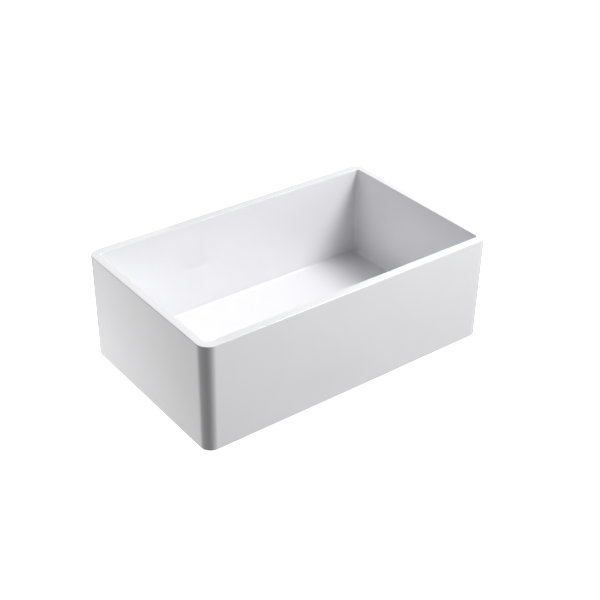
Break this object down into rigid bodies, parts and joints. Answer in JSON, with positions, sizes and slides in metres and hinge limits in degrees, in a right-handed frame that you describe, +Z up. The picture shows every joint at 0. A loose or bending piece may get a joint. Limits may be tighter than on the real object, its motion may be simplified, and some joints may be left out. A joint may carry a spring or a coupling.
{
  "type": "farmhouse apron front sink",
  "caption": "Single-bowl fireclay farmhouse sink with a plain tall apron front, a lift-out basket strainer with a sliding stopper, and a straight tailpiece.",
  "frame": {"origin": "on the drain axis, in the plane of the bowl's flat underside, which is also the middle of the bowl in plan", "axes": "+Z up to the rim; X along the width; -Y towards the apron front and +Y towards the back wall"},
  "size_m": [0.755, 0.46, 0.418],
  "materials": {
    "fireclay_glaze": "gloss white glaze",
    "strainer_steel": "satin stainless steel",
    "bare_brass": "plain machined brass",
    "chrome_plate": "bright chrome plate",
    "black_rubber": "matt black rubber",
    "putty": "soft putty",
    "fibre": "pressed fibre",
    "natural_plastic": "natural nylon and polyethylene"
  },
  "bodies": {
    "root": {"sink_basin": "fireclay_glaze", "strainer_body": "strainer_steel", "outlet_collar": "bare_brass", "putty_seal": "putty", "rubber_gasket": "black_rubber", "friction_ring": "fibre", "locknut": "bare_brass", "tailpiece_washer": "natural_plastic", "tailpiece": "chrome_plate", "slip_nut": "chrome_plate"},
    "basket": {"basket_cup": "strainer_steel", "stem_bush": "natural_plastic"},
    "stopper": {"stopper_stem": "strainer_steel", "pull_knob": "strainer_steel", "stopper_washer": "strainer_steel", "stopper_seal": "black_rubber", "stopper_nut": "bare_brass", "snap_clip": "natural_plastic"}
  },
  "joints": [
    {"name": "basket_lift", "type": "slide", "parent": "root", "child": "basket", "axis": [0, 0, 1], "range_m": [0, 0.32]},
    {"name": "stopper_lift", "type": "slide", "parent": "basket", "child": "stopper", "axis": [0, 0, 1], "range_m": [0, 0.007]}
  ]
}
